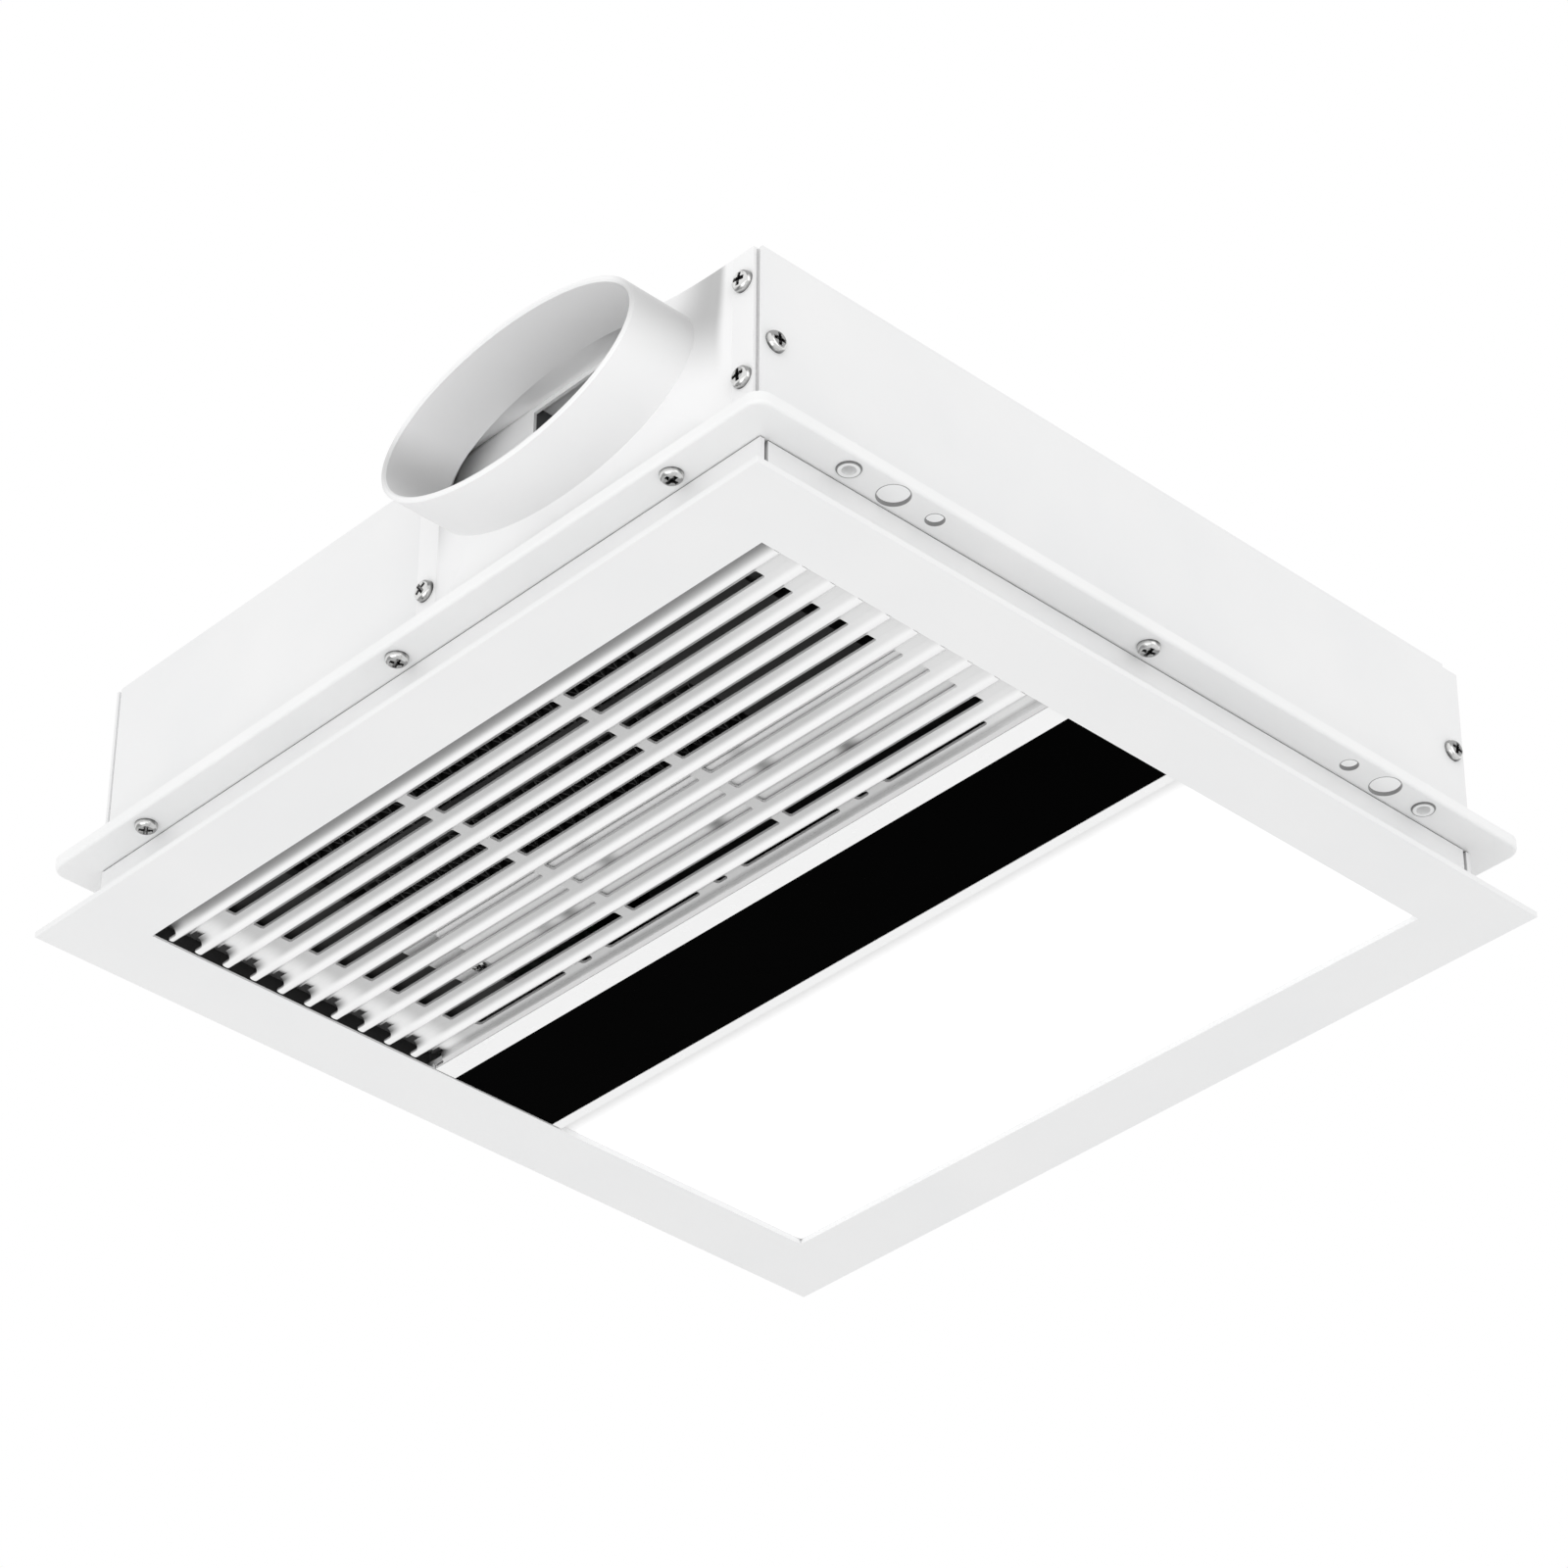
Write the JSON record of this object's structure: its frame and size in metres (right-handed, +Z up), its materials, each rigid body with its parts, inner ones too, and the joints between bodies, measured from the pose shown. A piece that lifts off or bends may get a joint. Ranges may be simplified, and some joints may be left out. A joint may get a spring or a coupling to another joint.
{
  "type": "bathroom exhaust fan heater",
  "caption": "Square ceiling unit with extractor fan, warm air heater, ribbed slotted grille, dark display strip, lamp panel and an oval duct collar.",
  "frame": {"origin": "centre of the mounting flange's underside, where the unit seats in the ceiling", "axes": "+Z up to the ceiling; the duct collar stands on the -Y wall; the grille's ribs run along X; the face looks down (-Z)"},
  "size_m": [0.3, 0.3165, 0.0852],
  "materials": {
    "housing_steel": "white powder coat, satin",
    "flange_steel": "white powder coat, satin",
    "fascia_plastic": "white moulded plastic, soft gloss",
    "grille_steel": "white gloss lacquer",
    "collar_plastic": "white moulded plastic",
    "nickel_screw": "bright nickel plate",
    "zinc_steel": "zinc plate",
    "heater_black": "black anodised fins",
    "black_plastic": "black moulded plastic",
    "grey_plastic": "light grey moulded plastic",
    "lens_black": "black gloss panel",
    "diffuser_white": "opal, lit from behind",
    "led_board": "white solder mask",
    "green_board": "green solder mask",
    "bronze": "sintered bronze",
    "motor_iron": "laminated iron",
    "shaft_steel": "ground steel",
    "edge_foam": "black closed cell foam strip",
    "spring_steel": "spring temper strip"
  },
  "bodies": {
    "housing": {"mounting_flange": "flange_steel", "rivet_nuts": "zinc_steel", "housing_body": "housing_steel", "side_panel_left": "housing_steel", "side_panel_right": "housing_steel", "flange_screws": "nickel_screw", "side_screws": "nickel_screw", "adapter_screws": "nickel_screw", "outlet_adapter": "collar_plastic", "fan_scroll": "grey_plastic", "motor_housing": "zinc_steel", "motor_screws": "zinc_steel", "motor_stator": "motor_iron", "motor_bearings": "bronze", "air_duct": "grey_plastic", "damper_motor": "black_plastic", "damper_motor_screws": "zinc_steel", "heater_frame": "black_plastic", "heater_bars": "heater_black", "heater_fins": "heater_black", "heater_terminals": "zinc_steel", "thermal_cutout": "black_plastic", "heater_hood": "zinc_steel", "cross_member": "housing_steel", "board_standoffs": "zinc_steel", "control_board": "green_board", "relays": "black_plastic", "terminal_block": "grey_plastic", "terminal_screws": "zinc_steel", "run_capacitor": "grey_plastic", "capacitor_strap": "zinc_steel", "cable_gland": "grey_plastic", "gland_nut": "grey_plastic", "end_cover": "black_plastic", "back_panel": "housing_steel", "member_screws": "nickel_screw"},
    "wheel": {"impeller": "grey_plastic", "wheel_plate": "grey_plastic", "motor_shaft": "shaft_steel", "motor_rotor": "motor_iron", "impeller_nut": "zinc_steel"},
    "damper": {"changeover_damper": "grey_plastic", "damper_shaft": "shaft_steel"},
    "face_panel": {"face_frame": "fascia_plastic", "outlet_grille": "grille_steel", "display_bezel": "fascia_plastic", "display_lens": "lens_black", "display_digits": "lens_black", "display_board": "green_board", "light_diffuser": "diffuser_white", "light_tray": "housing_steel", "led_strips": "led_board", "led_driver": "grey_plastic", "face_clips": "spring_steel", "edge_seal": "edge_foam"}
  },
  "joints": [
    {"name": "wheel_spin", "type": "hinge", "parent": "housing", "child": "wheel", "pos_m": [0.0077, 0.042, 0.052], "axis": [0, 0, 1], "continuous": true},
    {"name": "damper_swing", "type": "hinge", "parent": "housing", "child": "damper", "pos_m": [0.0757, -0.1185, 0.0176], "axis": [1, 0, 0], "range_deg": [0, 85]},
    {"name": "face_drop", "type": "slide", "parent": "housing", "child": "face_panel", "axis": [0, 0, 1], "range_m": [-0.03, 0]}
  ]
}
